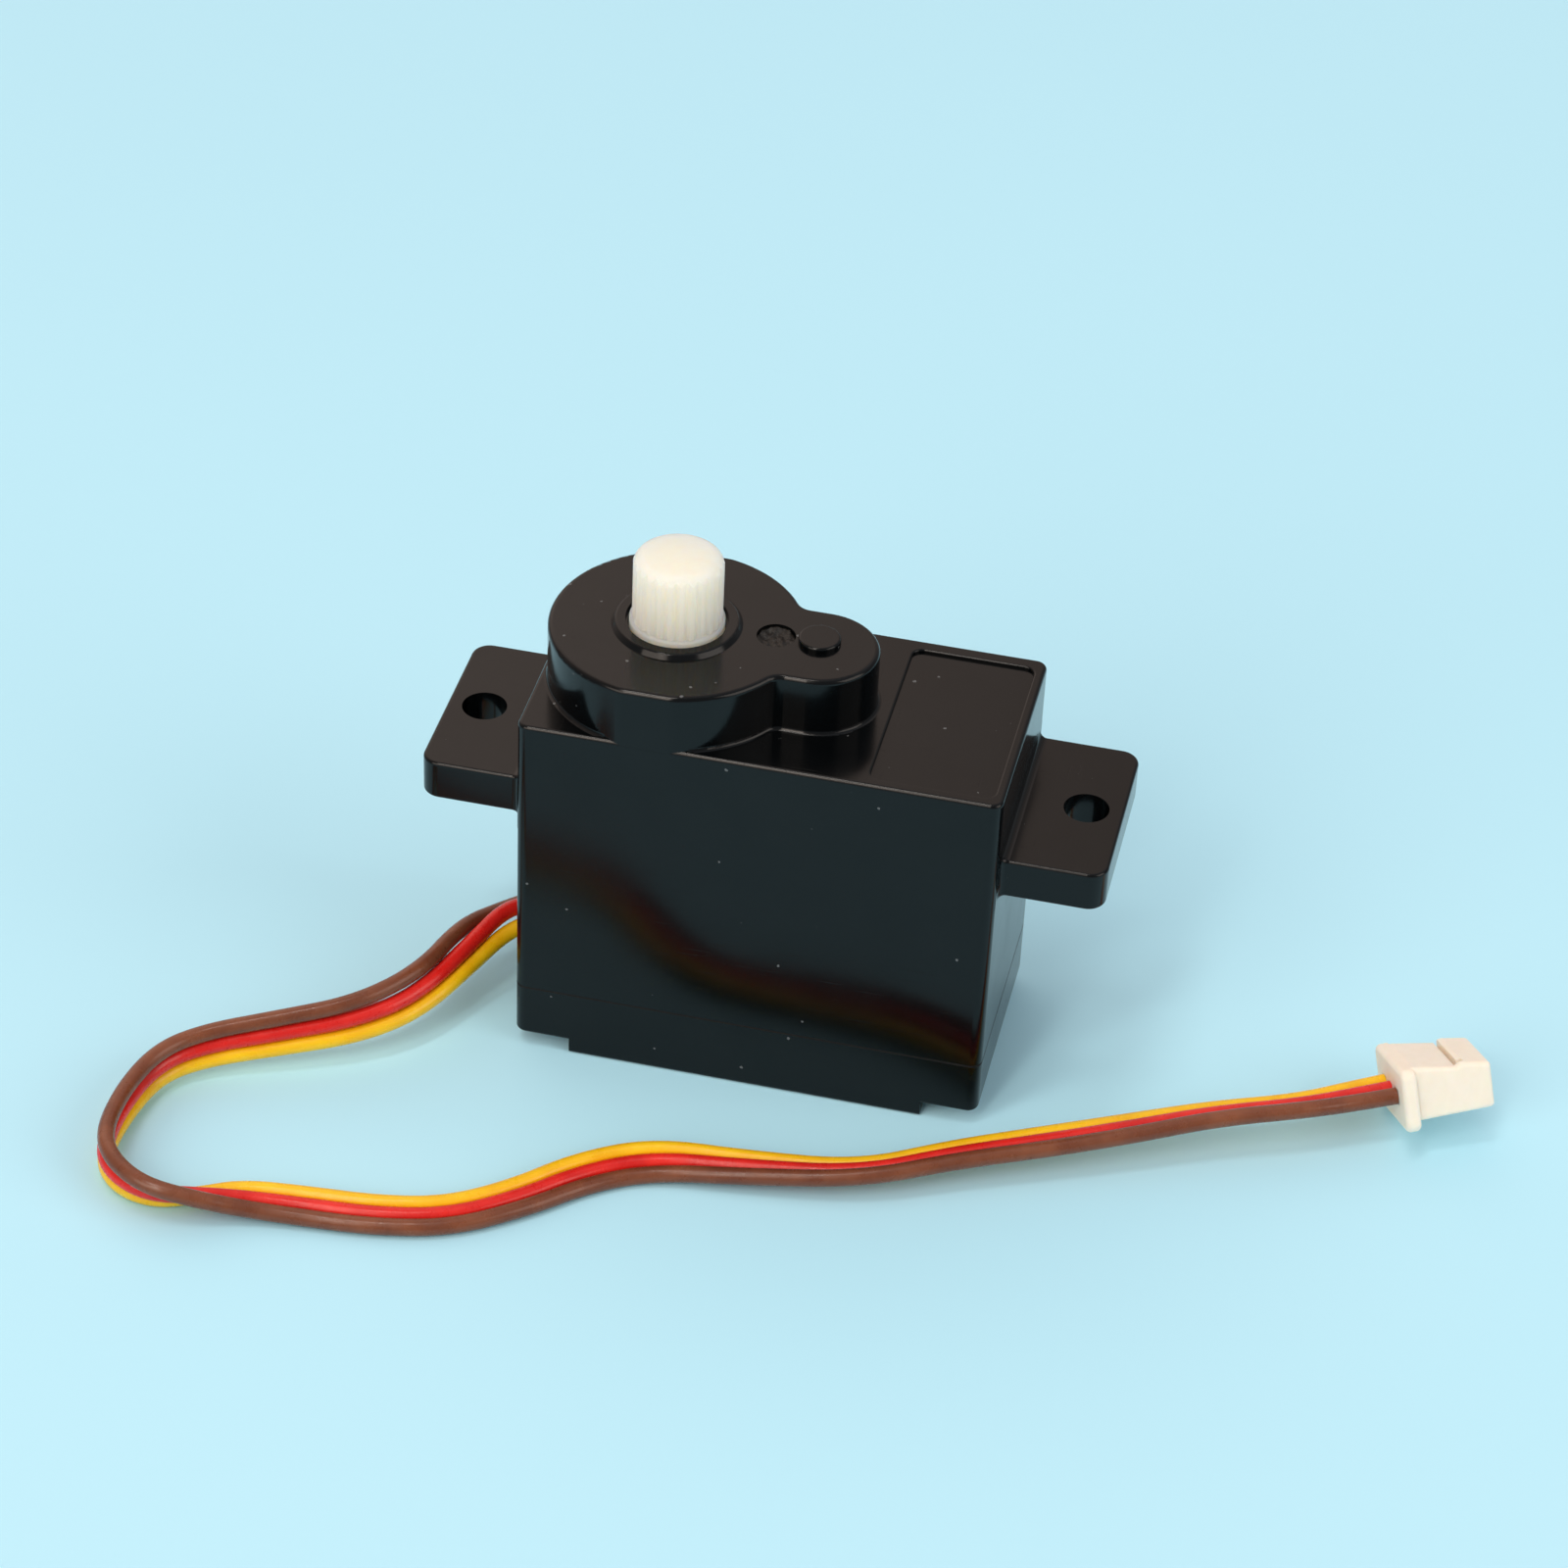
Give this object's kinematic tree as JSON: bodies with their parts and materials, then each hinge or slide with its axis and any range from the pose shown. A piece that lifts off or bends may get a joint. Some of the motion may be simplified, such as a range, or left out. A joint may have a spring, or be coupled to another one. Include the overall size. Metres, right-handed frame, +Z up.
{
  "type": "servo motor",
  "caption": "Micro servo motor: glossy black case with mounting ears, white splined output shaft on a spur gear train with motor and feedback pot, and a three-wire lead with connector.",
  "frame": {"origin": "centre of the case's underside, on the surface that it stands on", "axes": "+Z up along the output shaft, +X along the case away from the output shaft, -Y the front face; the lead leaves the -X end"},
  "size_m": [0.0636, 0.0286, 0.0261],
  "materials": {
    "black_case": "glossy moulded black plastic",
    "white_nylon": "satin white nylon",
    "steel": "turned steel",
    "motor_steel": "bright plated sheet steel",
    "magnet": "dark sintered magnet",
    "lamination": "stacked steel laminations",
    "copper": "enamelled copper wire",
    "bronze": "sintered bronze",
    "brass": "brass",
    "motor_cap": "dark moulded plastic",
    "pot_body": "dark blue moulded plastic",
    "phenolic": "brown phenolic with a carbon track",
    "pcb": "green solder mask",
    "chip": "black epoxy",
    "screw_steel": "zinc plated steel",
    "wire_brown": "brown PVC insulation",
    "wire_red": "red PVC insulation",
    "wire_yellow": "orange-yellow PVC insulation",
    "connector": "cream moulded plastic",
    "tinned": "tinned phosphor bronze"
  },
  "bodies": {
    "root": {"upper_case": "black_case", "bottom_cover": "black_case", "case_screws": "screw_steel", "gear_plate": "black_case", "idler_pin": "steel", "motor_can": "motor_steel", "motor_magnets": "magnet", "motor_front_bushing": "bronze", "motor_end_cap": "motor_cap", "motor_brushes": "brass", "motor_terminals": "brass", "pot_housing": "pot_body", "pot_track": "phenolic", "pot_terminals": "tinned", "control_board": "pcb", "driver_ic": "chip", "board_parts": "chip", "lead_tails": "tinned", "wire_brown": "wire_brown", "wire_red": "wire_red", "wire_yellow": "wire_yellow", "connector_housing": "connector", "connector_contacts": "tinned"},
    "output": {"output_gear_shaft": "white_nylon", "pot_shaft": "steel", "pot_wiper": "brass"},
    "third": {"third_gear": "white_nylon"},
    "second": {"second_gear": "white_nylon"},
    "first": {"first_gear": "white_nylon"},
    "rotor": {"motor_pinion": "brass", "motor_shaft": "steel", "armature_core": "lamination", "armature_windings": "copper", "commutator": "copper"}
  },
  "joints": [
    {"name": "motor_spin", "type": "hinge", "parent": "root", "child": "rotor", "pos_m": [0.00558, 0, 0.015], "axis": [0, 0, 1], "range_deg": [-14251, 14251]},
    {"name": "output_turn", "type": "hinge", "parent": "root", "child": "output", "pos_m": [-0.0053, 0, 0.02], "axis": [0, 0, 1], "range_deg": [-90, 90]},
    {"name": "third_gear_spin", "type": "hinge", "parent": "root", "child": "third", "pos_m": [0.0007, 0, 0.015], "axis": [0, 0, 1], "range_deg": [-311, 311]},
    {"name": "second_gear_spin", "type": "hinge", "parent": "root", "child": "second", "pos_m": [-0.0053, 0, 0.015], "axis": [0, 0, 1], "range_deg": [-1068.8, 1068.8]},
    {"name": "first_gear_spin", "type": "hinge", "parent": "root", "child": "first", "pos_m": [0.0007, 0, 0.015], "axis": [0, 0, 1], "range_deg": [-3678.9, 3678.9]}
  ],
  "couplings": [
    {"joint": "first_gear_spin", "follows": "motor_spin", "ratio": -0.25806},
    {"joint": "second_gear_spin", "follows": "motor_spin", "ratio": 0.074922},
    {"joint": "third_gear_spin", "follows": "motor_spin", "ratio": -0.021752},
    {"joint": "output_turn", "follows": "motor_spin", "ratio": 0.006315}
  ]
}
